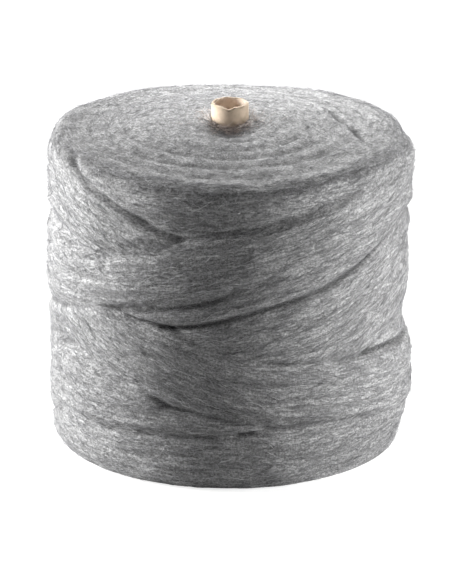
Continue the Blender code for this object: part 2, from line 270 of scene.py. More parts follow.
def section_rows():
    """Each row's radius, height, way out and up, and shares of the wall and of the top."""
    foot, bend = WALL_RADIUS - FOOT_LOSS, math.pi / 2
    rows = [(BORE_RADIUS + (foot - BORE_RADIUS) * share, 0, 0, -1, 0, 0)
            for share in np.linspace(0, 1, UNDER_ROWS + 1)[:-1]]
    rows += [(foot + FOOT_LOSS * math.sin(turn), FOOT_HEIGHT * (1 - math.cos(turn)),
              1, 0, math.sin(turn), 0) for turn in np.linspace(0, bend, FOOT_ROWS + 1)[:-1]]
    rows += [(WALL_RADIUS, height, 1, 0, 1, 0)
             for height in np.linspace(FOOT_HEIGHT, WALL_TOP, WALL_ROWS + 1)[:-1]]
    rows += [(BROW_RADIUS + SHOULDER_LOSS * math.cos(turn),
              WALL_TOP + SHOULDER_HEIGHT * math.sin(turn),
              *(math.cos(turn), math.sin(turn)) * 2)
             for turn in np.linspace(0, bend, SHOULDER_ROWS + 1)[:-1]]
    rows += [(BROW_RADIUS + (BORE_RADIUS - BROW_RADIUS) * share,
              RIM_HEIGHT + CROWN_RISE * smooth_step(share), 0, 1, 0, 1)
             for share in np.linspace(0, 1, TOP_ROWS + 1)]
    rows += [(BORE_RADIUS, (RIM_HEIGHT + CROWN_RISE) * (1 - share), -1, 0, 0, 0)
             for share in np.linspace(0, 1, BORE_ROWS + 2)[1:]]
    return np.array(rows, dtype=float)


SECTION = section_rows()
print(len(SECTION), "rows by", COLUMNS, "columns")

# %% [markdown]
# ## Folds and tufts
# Locks of fibre make ridges that run with the ribbon, so their noise is stretched along it.
# On the top the wool is loose and tousled, and its noise runs all ways.

# %% Folds and tufts
# Height, length along, length across and seed of each noise
FOLDS = ((0.0008, 0.085, 0.0070, 11), (0.0008, 0.045, 0.0042, 12), (0.0010, 0.045, 0.028, 13))
TUFTS = ((0.0010, 0.026, 0.026, 15), (0.0002, 0.0090, 0.0090, 16))


def uneven_relief(noises, along, across):
    """The sum of several noises, in metres."""
    return sum(high * lattice_noise(along / long, across / wide, seed)
               for high, long, wide, seed in noises)


print(len(FOLDS), "noises on the wall and", len(TUFTS), "on the top")

# %% [markdown]
# ## Turns on the top
# From above, the edges of the turns are scalloped rings that wander a little and fade at the
# rim. They could be cut along a spiral, but a rule over the radius looks wound enough. Two
# short gaps between turns stand open on the right.

# %% Edges of turns, and gaps between them
TURN_SHAPE = ((0.0, 0.10, 0.35, 0.62, 0.9, 1.0), (0.0, 0.45, 0.85, 1.0, 0.6, 0.0))
FAINT_MIDDLE, FAINT_SHARE, FAINT_DEGREES, RIM_FADE = 0.55, 0.45, 45.0, 8.0
TOP_SLITS = ((0.080, 0.050, 0.094, 0.012), (0.096, 0.010, 0.111, -0.030))
SLIT_WIDTH, SLIT_DEPTH = 0.0024, 0.0030


def turn_edges(radius, azimuth):
    """Height of the turns' scalloped edges on the top, from 0 in a gap to 1 on a crest."""
    share = (BROW_RADIUS - radius) / (BROW_RADIUS - BORE_RADIUS)
    turn = share * (TURNS + FIRST_TURN) - FIRST_TURN
    drift = radius / TURN_PITCH
    angle = np.radians(azimuth)
    sway = TURN_WANDER * (np.sin(angle + drift) + 0.5 * np.sin(2 * angle - 1.7 * drift))
    place = (turn + sway / TURN_PITCH) % 1.0
    rise = np.interp(place, *TURN_SHAPE)
    faint = lattice_noise(azimuth / FAINT_DEGREES, np.floor(turn + sway / TURN_PITCH), 14)
    faint = FAINT_MIDDLE + FAINT_SHARE * faint
    rise = 1.0 - (1.0 - rise) * faint
    return rise, smooth_step((1.0 - share) * TURNS) * smooth_step(share * RIM_FADE)


def slit_share(x, y):
    """How deep a place lies in one of the short gaps between turns, from 0 to 1."""
    deepest = np.zeros_like(x)
    for start_x, start_y, end_x, end_y in TOP_SLITS:
        run_x, run_y = end_x - start_x, end_y - start_y
        along = ((x - start_x) * run_x + (y - start_y) * run_y) / (run_x ** 2 + run_y ** 2)
        along = np.clip(along, 0.0, 1.0)
        gap = np.hypot(x - start_x - along * run_x, y - start_y - along * run_y)
        ends = np.sin(math.pi * np.clip(along, 0.05, 0.95)) ** 0.5
        deepest = np.maximum(deepest, np.exp(-(gap / SLIT_WIDTH) ** 2) * ends)
    return deepest


print("about", TURNS, "turns show on the top, and", len(TOP_SLITS), "gaps")

# %% [markdown]
# ## The body of wool
# The ribbon could be made as hair, but the eye sees a felted mass with fibres on it. So the
# mass is a fine grid, rolled up like felt: one direction runs round the roll, the other along
# the section. Its points are moved by the rules above, and its open edges are then merged.

# %% The grid of points, from the rules
SOFTENING = 0.9             # cells over which an edge is averaged
SWIRL_ROUND, SWIRL_OUT, SWIRL_WAVE, SWIRL_WAVES = 0.24, 0.5, 0.006, (3, 40)
HOLLOW_PLACE, HOLLOW_RADIUS = 0.026, 0.018
# Painted shade on the top: how much the gaps between turns, the slits and the front are darkened
# in colour
TURN_SHARE, TURN_SHADE, SLIT_SHADE = 0.75, 0.40, 0.62
FRONT_SHADE, SHADE_FROM, SHADE_FADE, SHADE_WIDTH = 0.26, 0.050, 0.050, 0.095
TOP_FROM, BARE_FROM = 0.7, 0.2


def soft_winding(azimuth, height):
    """Relief and crease, averaged round each point, so no steep edge is cut in steps."""
    reach_round, reach_up = SOFTENING * 360.0 / COLUMNS, SOFTENING * RIM_HEIGHT / WALL_ROWS
    steps = (-1, -0.5, 0, 0.5, 1)
    around = [(aside, above) for aside in steps for above in steps]
    relief, crease_shade = 0.0, 0.0
    for aside, above in around:
        found = winding_at(azimuth + reach_round * aside, height + reach_up * above)
        relief = relief + found[0] / len(around)
        crease_shade = crease_shade + found[2] / len(around)
    return relief, crease_shade


def shape_grid():
    """Azimuths, points, fibre slopes, creases with painted shade, comb lengths and bare turns.
    """
    azimuth = np.linspace(-180.0, 180.0, COLUMNS + 1)[None, :] + np.zeros((len(SECTION), 1))
    radius, height, out, up, wall, top = (
        SECTION[:, place][:, None] + np.zeros((1, COLUMNS + 1)) for place in range(6))
    _, slope, _, along, across, bare = winding_at(azimuth, height)
    relief, crease_shade = soft_winding(azimuth, height)
    angle = np.radians(azimuth)
    on_top = top > TOP_FROM
    along = np.where(on_top, SWIRL_ROUND * angle + SWIRL_OUT * radius, along)
    wave = SWIRL_WAVE * np.sin(SWIRL_WAVES[0] * angle + SWIRL_WAVES[1] * radius)
    across = np.where(on_top, radius + wave, across)
    rise, hold = turn_edges(radius, azimuth)
    flat_x, flat_y = radius * np.sin(angle), -radius * np.cos(angle)
    stand = relief * wall + uneven_relief(FOLDS, along, across) * np.clip(wall, 0, 1)
    hollow = np.exp(-(flat_x ** 2 + (flat_y + HOLLOW_PLACE) ** 2) / HOLLOW_RADIUS ** 2) * top
    loose = uneven_relief(TUFTS, flat_x, flat_y) * top - FRONT_HOLLOW * hollow
    slit = slit_share(flat_x, flat_y) * top
    sunk = TURN_RELIEF * TURN_SHARE * (rise - 1.0) * hold * top + loose - SLIT_DEPTH * slit
    sag = RIM_SAG * np.cos(angle) ** 2
    sag = sag - REAR_RISE * np.sin(angle) ** 2 * np.maximum(-np.cos(angle), 0.0)
    sag = sag * (radius / ROLL_RADIUS) ** 2 * top
    far_out = radius + stand * out
    points = np.stack((far_out * np.sin(angle), -far_out * np.cos(angle),
                       np.maximum(height + (stand * wall + sunk) * up - sag, 0.0)), axis=-1)
    points[:, -1] = points[:, 0]
    # Painted shade: gaps between turns, the front of the top and the slits join the crease mask,
    # which darkens the colour
    crease_shade = np.maximum(crease_shade * wall, (1.0 - rise) * hold * top * TURN_SHADE)
    front = smooth_step((-flat_y - SHADE_FROM) / SHADE_FADE)
    front = front * np.exp(-(flat_x / SHADE_WIDTH) ** 2) * top
    crease_shade = np.maximum(np.maximum(crease_shade, FRONT_SHADE * front), SLIT_SHADE * slit)
    bare = bare * wall * (height > BARE_FROM)
    return azimuth, points, slope * (1 - top), crease_shade, along, across, bare


AZIMUTH, GRID, SLOPE, CREASE_SHADE, ALONG, ACROSS, BARE = shape_grid()
print("crease share", round(float((CREASE_SHADE > 0.5).mean()), 3))

# %% [markdown]
# ## Closing the roll
# The grid keeps the UV map that it is made with. A second map, `comb`, holds the metres along
# and across the pass on top, for the streaks. A face that lies over two passes would smear
# them, and takes plain metres round and up.

# %% Helpers for meshes
TORN_FROM = 0.02            # metres of comb within one face


def deselect_all():
    """Start from nothing selected, because an operator acts on all that is."""
    if bpy.context.object and bpy.context.object.mode != "OBJECT":
        bpy.ops.object.mode_set(mode="OBJECT")
    bpy.ops.object.select_all(action="DESELECT")


def start_edit():
    """Go into edit mode with everything selected."""
    bpy.ops.object.mode_set(mode="EDIT")
    bpy.ops.mesh.select_all(action="SELECT")


def finish_edit():
    """Turn all faces outward and go back to object mode."""
    bpy.ops.mesh.select_all(action="SELECT")
    bpy.ops.mesh.normals_make_consistent(inside=False)
    bpy.ops.object.mode_set(mode="OBJECT")


def named(name):
    """Name the object that an operator has just added, and its mesh."""
    piece = bpy.context.object
    piece.name = name
    piece.data.name = name
    return piece


def write_points(mesh, points):
    """Move a mesh's points to the rows of an array."""
    mesh.vertices.foreach_set("co", np.ascontiguousarray(points, dtype=float).ravel())
    mesh.update()


def add_layer(mesh, name, domain, values):
    """Store one number for each point or face under a name that a material can read."""
    layer = mesh.attributes.new(name, "FLOAT", domain)
    layer.data.foreach_set("value", np.ascontiguousarray(values, dtype=np.float32).ravel())


def comb_map(mesh):
    """A second UV map: metres along and across the pass that owns each face."""
    columns = GRID.shape[1]
    corners = np.empty(len(mesh.loops), dtype=int)
    mesh.loops.foreach_get("vertex_index", corners)
    corners = corners.reshape(-1, 4)
    along, across = ALONG.ravel()[corners], ACROSS.ravel()[corners]
    angle = np.radians(AZIMUTH.ravel()[corners])
    height = SECTION[:, 1][corners // columns]
    torn = (np.ptp(across, axis=1) > TORN_FROM) | (np.ptp(along, axis=1) > TORN_FROM)
    along = np.where(torn[:, None], angle * ROLL_RADIUS, along)
    across = np.where(torn[:, None], height, across)
    comb = mesh.uv_layers.new(name="comb")
    comb.data.foreach_set("uv", np.stack((along, across), axis=-1).ravel())


print("helpers ready for", GRID.shape[0] * GRID.shape[1], "points")

# %% Roll the grid up and close it
deselect_all()
bpy.ops.mesh.primitive_grid_add(x_subdivisions=COLUMNS, y_subdivisions=len(SECTION) - 1,
                                size=1, calc_uvs=True)
wool = named("wool_body")
wool.data.uv_layers[0].name = "OFBake"
write_points(wool.data, GRID.reshape(-1, 3))
comb_map(wool.data)
# The crease mask is stored for the material, which paints shade into the creases
add_layer(wool.data, "crease_shade", "POINT", CREASE_SHADE)
start_edit()
bpy.ops.mesh.remove_doubles(threshold=0.00001)
finish_edit()
bpy.ops.object.shade_smooth()
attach(wool, "root")
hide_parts("wool_winding")
print("wool body", len(wool.data.polygons), "faces")

# %% [markdown]
# ## One strand of steel
# A strand is shaved from wire, so it is three sided and uneven. Hair curves would render well
# but export as nothing, so each strand is a real thin mesh. One is made: a triangle
# is extruded three times, and drawn thin at both ends.

# %% Make the strand
STRAND_STEPS = 3
STRAND_TAPER = (0.35, 1.0, 1.0, 0.35)

deselect_all()
bpy.ops.mesh.primitive_circle_add(vertices=3, radius=STRAND_TAPER[0], fill_type="NGON")
strand = named("strand")
start_edit()
for before, after in zip(STRAND_TAPER, STRAND_TAPER[1:]):
    bpy.ops.mesh.extrude_region_move(TRANSFORM_OT_translate={"value": (0, 0, 1)})
    bpy.ops.transform.resize(value=(after / before, after / before, 1))
finish_edit()
STRAND_POINTS = np.array([vert.co[:] for vert in strand.data.vertices])
STRAND_RINGS = np.round(STRAND_POINTS[:, 2]).astype(int)
STRAND_FACES = [tuple(face.vertices) for face in strand.data.polygons]
bpy.data.objects.remove(strand)
print("strand", len(STRAND_POINTS), "points and", len(STRAND_FACES), "faces")

# %% [markdown]
# ## Laying strands on the wool
# A strand runs in the direction in which the pass under it was wound, with a little wander.
# Its path is kept in two numbers, the column and the row of the grid, so it follows every
# swell and crease by itself. A few strands stray, and some ends spring up, which gives the
# soft outline of the real roll.

# %% Paths on the grid
ROW_LENGTH = np.hypot(np.diff(SECTION[:, 0]), np.diff(SECTION[:, 1]))
ROW_STATION = np.concatenate(([0.0], np.cumsum(ROW_LENGTH)))
FIRST_ROW = UNDER_ROWS + 1
LAST_ROW = len(SECTION) - BORE_ROWS - 3


def grid_lookup(table, column, row):
    """Read a grid of values between its rows and columns."""
    column = column % COLUMNS
    row = np.clip(row, 0, len(SECTION) - 2.001)
    left, low = np.floor(column).astype(int), np.floor(row).astype(int)
    aside, above = column - left, row - low
    if table.ndim == 3:
        aside, above = aside[..., None], above[..., None]
    bottom = table[low, left] * (1 - aside) + table[low, left + 1] * aside
    upper = table[low + 1, left] * (1 - aside) + table[low + 1, left + 1] * aside
    return bottom * (1 - above) + upper * above


def outward_directions():
    """The smoothed way out of the wool at each point of the grid."""
    angle = np.radians(AZIMUTH)
    out, up = SECTION[:, 2][:, None], SECTION[:, 3][:, None]
    return np.stack((out * np.sin(angle), -out * np.cos(angle), up + 0 * angle), axis=-1)


OUTWARD = outward_directions()


def lay_paths(dice, column, row, length, heading, waver):
    """Walk each strand's middle line over the wool, and give its points and outward ways."""
    step = length / STRAND_STEPS
    slope = grid_lookup(SLOPE, column, row)
    turn = dice.normal(0.0, waver, (len(column), STRAND_STEPS)).cumsum(axis=1)
    rows = np.arange(len(SECTION))
    points, outward, creases = [], [], []
    for number in range(STRAND_STEPS + 1):
        points.append(grid_lookup(GRID, column, row))
        outward.append(grid_lookup(OUTWARD, column, row))
        creases.append(grid_lookup(CREASE_SHADE, column, row))
        if number == STRAND_STEPS:
            break
        here = slope + heading + turn[:, number]
        radius = np.interp(row, rows, SECTION[:, 0])
        column = column + step * np.cos(here) / radius * COLUMNS / (2 * math.pi)
        station = np.interp(row, rows, ROW_STATION) + step * np.sin(here)
        row = np.clip(np.interp(station, ROW_STATION, rows), FIRST_ROW, LAST_ROW)
    return tuple(np.stack(found, axis=1) for found in (points, outward, creases))


print("strands lie between rows", FIRST_ROW, "and", LAST_ROW)

# %% [markdown]
# ## Many strands in one mesh
# Thousands of objects would be slow, so all strands of one band are one mesh: the strand's
# points are written again for each path, turned to follow it. Each strand has its own cell
# on the UV map, and a tint that its material turns into a tone. Across a crease the tint is
# lowered as painted shade.

# %% Copy the strand along paths
CELL_MARGIN, CELL_SHARE, TIP_NUDGE, TIP_ROOM = 0.08, 0.84, 0.3, 0.4


def bake_cells(count):
    """A UV cell for each strand: its own place on a baked picture."""
    side = math.ceil(math.sqrt(count))
    corner = np.round(np.degrees(np.arctan2(STRAND_POINTS[:, 1], STRAND_POINTS[:, 0])) / 120) % 3
    spots = []
    for face in STRAND_FACES:
        corners = [corner[point] for point in face]
        if len(face) == 4 and max(corners) - min(corners) > 1.5:
            corners = [3 if value == 0 else value for value in corners]
        for point, value in zip(face, corners):
            rung = STRAND_RINGS[point] + TIP_NUDGE * (len(face) == 3) * (value == 1)
            spots.append(((CELL_MARGIN + CELL_SHARE * value / 3) / side,
                          (CELL_MARGIN + CELL_SHARE * rung / (STRAND_STEPS + TIP_ROOM)) / side))
    spots = np.array(spots)
    place = np.arange(count)
    origin = np.stack((place % side, place // side), axis=-1) / side
    return (origin[:, None, :] + spots[None, :, :]).reshape(-1, 2)


def copy_strands(name, points, outward, thickness, tint):
    """One mesh of many strands, each bent along its own path."""
    along = np.gradient(points, axis=1)
    along /= np.linalg.norm(along, axis=2, keepdims=True) + 1e-12
    aside = np.cross(along, outward)
    aside /= np.linalg.norm(aside, axis=2, keepdims=True) + 1e-12
    away = np.cross(aside, along)
    spread = thickness[:, None, None]
    body = (points[:, STRAND_RINGS]
            + aside[:, STRAND_RINGS] * STRAND_POINTS[None, :, 0:1] * spread
            + away[:, STRAND_RINGS] * STRAND_POINTS[None, :, 1:2] * spread)
    count = len(points)
    offsets = np.arange(count)[:, None] * len(STRAND_POINTS)
    corners = np.concatenate([np.array(face) for face in STRAND_FACES])
    sizes = np.array([len(face) for face in STRAND_FACES])
    mesh = bpy.data.meshes.new(name)
    mesh.vertices.add(count * len(STRAND_POINTS))
    mesh.vertices.foreach_set("co", body.ravel())
    mesh.loops.add(count * len(corners))
    mesh.loops.foreach_set("vertex_index", (offsets + corners[None, :]).ravel())
    mesh.polygons.add(count * len(sizes))
    starts = np.concatenate(([0], np.tile(sizes, count).cumsum()[:-1]))
    mesh.polygons.foreach_set("loop_start", starts)
    cells = mesh.uv_layers.new(name="OFBake")
    cells.data.foreach_set("uv", bake_cells(count).ravel())
    mesh.update(calc_edges=True)
    mesh.validate()
    mesh.shade_smooth()
    add_layer(mesh, "tint", "POINT", np.repeat(tint, len(STRAND_POINTS)))
    piece = bpy.data.objects.new(name, mesh)
    bpy.context.collection.objects.link(piece)
    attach(piece, "root")
    return piece


print("a strand's UV cell has", len(bake_cells(1)), "corners")

# %% [markdown]
# ## Bands of strands
# The wall is strewn in three bands and the top in a fourth. Strands keep out of the deep
# creases and swing together in bundles. On the wall they run with the ribbon, and on the top
# they are shorter and turn all ways. Their tone rises and falls in narrow ribs.

# %% Choose where strands start
# The crease hold keeps strands flat in creases and also darkens them there as painted shade
CREASE_LIMITS, CREASE_HOLD_AND_SHADE = (0.15, 1.1), 0.8
STRAY_SHARE, STRAY_SPREAD, BUNDLE_SIZE = 0.14, 4.0, 0.014
HANGING_TURN, HANGING_SPREAD = 1.4, 0.5
LYING_LIFT, BOWED_LIFT, SPRUNG_LIFT = 0.0006, 0.0004, (0.001, 0.005)
JIGGLE, LOWEST = 0.0003, 0.0004
RIB_LENGTH, RIB_WIDTH, RIB_SHARE = 0.030, 0.0026, 0.22


def scatter_rows(dice, count, low_row, high_row):
    """Rows for strands, spread evenly over the wool's surface."""
    rows = np.arange(low_row, high_row + 1)
    weight = SECTION[rows, 0] * np.gradient(ROW_STATION)[rows]
    share = np.concatenate(([0.0], weight.cumsum())) / weight.sum()
    return np.interp(dice.uniform(0, 1, count), share, np.arange(low_row, high_row + 2))


def wool_strands(name, seed, count, low_row, high_row, length, thickness, spread, spring,
                 tousle, waver):
    """Strands over a band of the wool: how long, thick, tangled and springy they are."""
    dice = np.random.default_rng(seed)
    row = scatter_rows(dice, count * 2, low_row, high_row)
    column = dice.uniform(0, COLUMNS, count * 2)
    open_place = grid_lookup(CREASE_SHADE, column, row) < dice.uniform(*CREASE_LIMITS, count * 2)
    row, column = row[open_place][:count], column[open_place][:count]
    count = len(row)
    long = dice.uniform(*length, count)
    stray = dice.uniform(0, 1, count) < STRAY_SHARE
    heading = dice.normal(0.0, spread, count) * np.where(stray, STRAY_SPREAD, 1.0)
    start = grid_lookup(GRID, column, row)
    bundle = lattice_noise((start[:, 0] + start[:, 2]) / BUNDLE_SIZE,
                           start[:, 1] / BUNDLE_SIZE, seed)
    heading = heading + tousle * bundle
    hanging = grid_lookup(BARE, column, row) > 0.5
    droop = dice.normal(HANGING_TURN, HANGING_SPREAD, count)
    heading = np.where(hanging, heading + droop, heading)
    points, outward, creases = lay_paths(dice, column, row, long, heading, waver)
    share = np.linspace(0, 1, STRAND_STEPS + 1)[None, :]
    lift = dice.uniform(0.0, LYING_LIFT, count)[:, None]
    lift = lift + dice.exponential(BOWED_LIFT, count)[:, None] * np.sin(math.pi * share)
    sprung = dice.uniform(0, 1, count) < spring
    rise = np.where(sprung, dice.uniform(*SPRUNG_LIFT, count), 0.0)[:, None]
    lift = lift + rise * np.clip(share * 1.6 - 0.6, 0, 1) ** 1.5
    lift = lift * (1 - CREASE_HOLD_AND_SHADE * creases)
    points = points + outward * lift[..., None] + dice.normal(0.0, JIGGLE, points.shape)
    points[..., 2] = np.maximum(points[..., 2], LOWEST)
    thick = dice.uniform(*thickness, count)
    rib = lattice_noise(grid_lookup(ALONG, column, row) / RIB_LENGTH,
                        grid_lookup(ACROSS, column, row) / RIB_WIDTH, 31)
    tint = np.clip(dice.uniform(0, 1, count) + RIB_SHARE * rib, 0, 1)
    # Painted shade: a strand that crosses a crease is darkened
    tint = tint * (1 - CREASE_HOLD_AND_SHADE * creases.max(axis=1))
    return copy_strands(name, points, outward, thick, tint)


print("a strand starts where the crease is below", CREASE_LIMITS)

# %% Strew the strands
PIECE_STRANDS = 9300
SHOULDER_ROW = UNDER_ROWS + FOOT_ROWS + WALL_ROWS
TOP_ROW = SHOULDER_ROW + SHOULDER_ROWS
# Length, thickness, spread, spring, tousle and waver of a strand
THIN = (0.00008, 0.00015)
COMBED = ((0.006, 0.018), THIN, 0.12, 0.09, 0.14, 0.20)
TOUSLED = ((0.003, 0.008), (0.00007, 0.00013), 0.90, 0.08, 1.20, 0.60)
BANDS = (("low_strands", 21, FIRST_ROW, 61, COMBED), ("middle_strands", 22, 61, 113, COMBED),
         ("high_strands", 23, 113, TOP_ROW - 3, COMBED),
         ("top_strands", 24, SHOULDER_ROW, LAST_ROW, TOUSLED))
strands = [wool_strands(name, seed, PIECE_STRANDS, low, high, *manner)
           for name, seed, low, high, manner in BANDS]
print("strands", sum(len(piece.data.vertices) for piece in strands) // len(STRAND_POINTS))

# %% [markdown]
# ## Fuzz at the foot of the tube
# Where the wool meets the tube, loose ends cling to the paper and hide the joint. They run
# round the tube and climb a few millimetres, most of them at the front, where they follow
# the hollow in the wool.

# %% Strands round the tube
FUZZ_SPREAD, FUZZ_REACH, FUZZ_GAP = 1.5, 0.004, 0.0005
FUZZ_LENGTH, FUZZ_CLIMB, CLIMB_REACH = (0.002, 0.009), (-0.003, 0.0020), 0.005
FUZZ_SINK, FUZZ_SLOPE, HOLLOW_SHARE = 0.0012, 0.04, 0.8
END_RISE, END_REACH, FUZZ_TINT = 0.0032, 0.0050, 0.8


def tube_fuzz(count):
    """Strands that run round the foot of the tube."""
    dice = np.random.default_rng(25)
    start = dice.normal(0.0, FUZZ_SPREAD, count)
    away = dice.exponential(FUZZ_REACH, count)
    share = np.linspace(0, 1, STRAND_STEPS + 1)[None, :]
    radius = TUBE_RADIUS + FUZZ_GAP + away
    length = dice.uniform(*FUZZ_LENGTH, count) * dice.choice((-1, 1), count)
    angle = start[:, None] + (length / radius)[:, None] * share
    climb = dice.uniform(*FUZZ_CLIMB, count) * np.exp(-away / CLIMB_REACH)
    height = RIM_HEIGHT + CROWN_RISE - FUZZ_SINK - FUZZ_SLOPE * away + climb
    height = height - HOLLOW_SHARE * FRONT_HOLLOW * np.exp(-start ** 2)
    height = height[:, None] + dice.normal(0.0, END_RISE, count)[:, None] * share
    reach = radius[:, None] + np.abs(dice.normal(0.0, END_REACH, (count, 1))) * share
    points = np.stack((reach * np.sin(angle), -reach * np.cos(angle), height), axis=-1)
    outward = np.stack((np.sin(angle), -np.cos(angle), 0.6 + 0 * angle), axis=-1)
    return copy_strands("tube_fuzz", points, outward, dice.uniform(*THIN, count),
                        dice.uniform(0, FUZZ_TINT, count))


fuzz = tube_fuzz(1500)
print("fuzz", len(fuzz.data.polygons), "faces")

# %% [markdown]
# ## The cardboard tube
# The ribbon is wound on a tube of three rolled plies of paper, and handling has torn its rim
# uneven. Each ply is drawn up from a circle of many sides and given its wall with Solidify.
# A rule then pushes its rim points down for the notch and the frayed edge.

# %% One ply, and the wear of its rim
TUBE_HEIGHT = TUBE_HIGH[2]
TUBE_WALL = 0.0028
NOTCH_AZIMUTH, NOTCH_DEPTH, NOTCH_WIDTH = -6.0, 0.0020, 0.0070
PLIES, PLY_SHARE, TUBE_SIDES = 3, 0.96, 120
RIM_WEAR, WAVE_HEIGHT, MIDDLE_PLY = 0.008, 0.0003, 0.4
TUBE_LEVELS = (0.100, 0.100, 0.060, 0.010, 0.006, 0.003, 0.002, 0.001)


def make_ply(number):
    """One ply of the tube's paper, drawn up from a circle."""
    thick = TUBE_WALL / PLIES
    outer = TUBE_RADIUS - number * thick
    deselect_all()
    bpy.ops.mesh.primitive_circle_add(vertices=TUBE_SIDES, radius=outer, fill_type="NOTHING")
    ply = named("ply")
    start_edit()
    left = TUBE_HEIGHT - sum(TUBE_LEVELS)
    for level in (left,) + TUBE_LEVELS:
        bpy.ops.mesh.extrude_region_move(TRANSFORM_OT_translate={"value": (0, 0, level)})
    finish_edit()
    wall = ply.modifiers.new("wall", "SOLIDIFY")
    wall.thickness = thick * PLY_SHARE
    wall.offset = -1.0
    bpy.ops.object.modifier_apply(modifier=wall.name)
    return ply


def wear_rim(mesh, number):
    """Push the rim down: a notch at the front, a slow wave, and a torn edge."""
    points = np.array([vert.co[:] for vert in mesh.vertices])
    azimuth = np.degrees(np.arctan2(points[:, 0], -points[:, 1]))
    angle = np.radians(azimuth)
    arc = np.radians(azimuth - NOTCH_AZIMUTH) * TUBE_RADIUS
    notch = NOTCH_DEPTH * np.exp(-(arc / NOTCH_WIDTH * 2) ** 2)
    waves = [np.sin(times * (angle + 0.2)) for times in (3, 7)]
    torn = sum(high * (1 + lattice_noise(azimuth / 360 * places, number + 0 * azimuth, seed))
               for high, places, seed in ((0.0006, 32, 41), (0.0003, 64, 42)))
    torn = torn * (MIDDLE_PLY if number == 1 else 1.0)
    near_rim = smooth_step((points[:, 2] - TUBE_HEIGHT + RIM_WEAR) / RIM_WEAR)
    points[:, 2] -= (notch + WAVE_HEIGHT * (1 + np.mean(waves, axis=0)) + torn) * near_rim
    write_points(mesh, points)


print("each ply is", round(TUBE_WALL / PLIES * 1000, 2), "mm thick")

# %% Join the plies
plies = []
for number in range(PLIES):
    ply = make_ply(number)
    wear_rim(ply.data, number)
    plies.append(ply)
deselect_all()
for ply in plies:
    ply.select_set(True)
bpy.context.view_layer.objects.active = plies[0]
bpy.ops.object.join()
tube = named("paper_tube")
bpy.ops.object.shade_smooth_by_angle(angle=math.radians(40))
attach(tube, "root")
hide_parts("cardboard_core")
print("tube", len(tube.data.polygons), "faces")

# %% [markdown]
# ## Steel in the shader
# The grain of the felt is a node group. It takes a place along and across the ribbon, and
# gives masks of three sizes: bright where fibres catch the light, dark where the eye sees
# between them. The Principled BSDF stays in each material, where its gloss can be read.

# %% Node helpers
def add_node(tree, kind, **settings):
    """Add a node and set its plain properties and its sockets by name."""
    node = tree.nodes.new(kind)
    for name, value in settings.items():
        if hasattr(node, name):
            setattr(node, name, value)
        else:
            node.inputs[name.replace("_", " ").title()].default_value = value
    return node


def ramp(tree, value, stops):
    """A colour ramp on a value: stops are a place and a grey or a colour."""
    node = tree.nodes.new("ShaderNodeValToRGB")
    elements = node.color_ramp.elements
    while len(elements) < len(stops):
        elements.new(0.5)
    for element, (place, colour) in zip(elements, stops):
        element.position = place
        tone = colour if isinstance(colour, tuple) else (colour,) * 3
        element.color = (*tone, 1.0)
    tree.links.new(value, node.inputs["Fac"])
    return node.outputs["Color"]


def feed(tree, node, places, values):
    """Give a node's inputs their values; each may be a socket or a number."""
    for place, value in zip(places, values):
        if isinstance(value, bpy.types.NodeSocket):
            tree.links.new(value, node.inputs[place])
        else:
            node.inputs[place].default_value = value


def mix_colour(tree, factor, first, second, blend="MIX"):
    """Mix two colours."""
    node = add_node(tree, "ShaderNodeMix", data_type="RGBA", blend_type=blend)
    feed(tree, node, (0, 6, 7), (factor, first, second))
    return node.outputs[2]


def maths(tree, operation, first, second):
    """One math node on two values."""
    node = add_node(tree, "ShaderNodeMath", operation=operation)
    feed(tree, node, (0, 1), (first, second))
    return node.outputs[0]


def vector_maths(tree, operation, vector, factors=None):
    """One vector math node on a socket, and its factors if it takes any."""
    node = add_node(tree, "ShaderNodeVectorMath", operation=operation)
    tree.links.new(vector, node.inputs[0])
    if factors is not None:
        node.inputs[1].default_value = factors
    return node


def add_bump(tree, shader, height, distance, strength):
    """Fine relief, seen in the light only."""
    bump = add_node(tree, "ShaderNodeBump", Distance=distance, Strength=strength)
    tree.links.new(height, bump.inputs["Height"])
    tree.links.new(bump.outputs[0], shader.inputs["Normal"])


print("node helpers ready")

# %% The streak group
GRAINS = (("Streaks", (0.16, 1.0, 1.0), 3.0), ("Ribs", (0.028, 0.32, 0.32), 2.0),
          ("Locks", (0.020, 0.10, 0.10), 2.0))


def streak_group():
    """Streaks that run with the fibres, from a place given in metres."""
    group = bpy.data.node_groups.new("fibre streaks", "ShaderNodeTree")
    group.interface.new_socket("Place", in_out="INPUT", socket_type="NodeSocketVector")
    group.interface.new_socket("Streak Width", in_out="INPUT", socket_type="NodeSocketFloat")
    for grain in GRAINS:
        group.interface.new_socket(grain[0], in_out="OUTPUT", socket_type="NodeSocketFloat")
    start = group.nodes.new("NodeGroupInput")
    end = group.nodes.new("NodeGroupOutput")
    scaled = vector_maths(group, "SCALE", start.outputs["Place"])
    per_width = maths(group, "DIVIDE", 1.0, start.outputs["Streak Width"])
    group.links.new(per_width, scaled.inputs["Scale"])
    for name, stretch, detail in GRAINS:
        squeezed = vector_maths(group, "MULTIPLY", scaled.outputs[0], stretch)
        noise = add_node(group, "ShaderNodeTexNoise", Scale=1.0, Detail=detail, Distortion=0.6)
        group.links.new(squeezed.outputs[0], noise.inputs["Vector"])
        group.links.new(noise.outputs["Fac"], end.inputs[name])
    return group


STREAKS = streak_group()
print("streak group", len(STREAKS.nodes), "nodes")

# %% [markdown]
# ## The wool's materials
# The body is a deep, dull grey with streaks: partly its own grey and partly painted shade,
# because it stands for the fibres further in. Painted shade darkens it in the creases, and a
# fine speckle of painted glints and dark flecks breaks it up. The strands are brighter and
# more metallic, and each has its own tone: a few are nearly white, a painted glint where a
# flat of the steel would turn to the light. Strands that cross a crease are darkened as
# painted shade too.

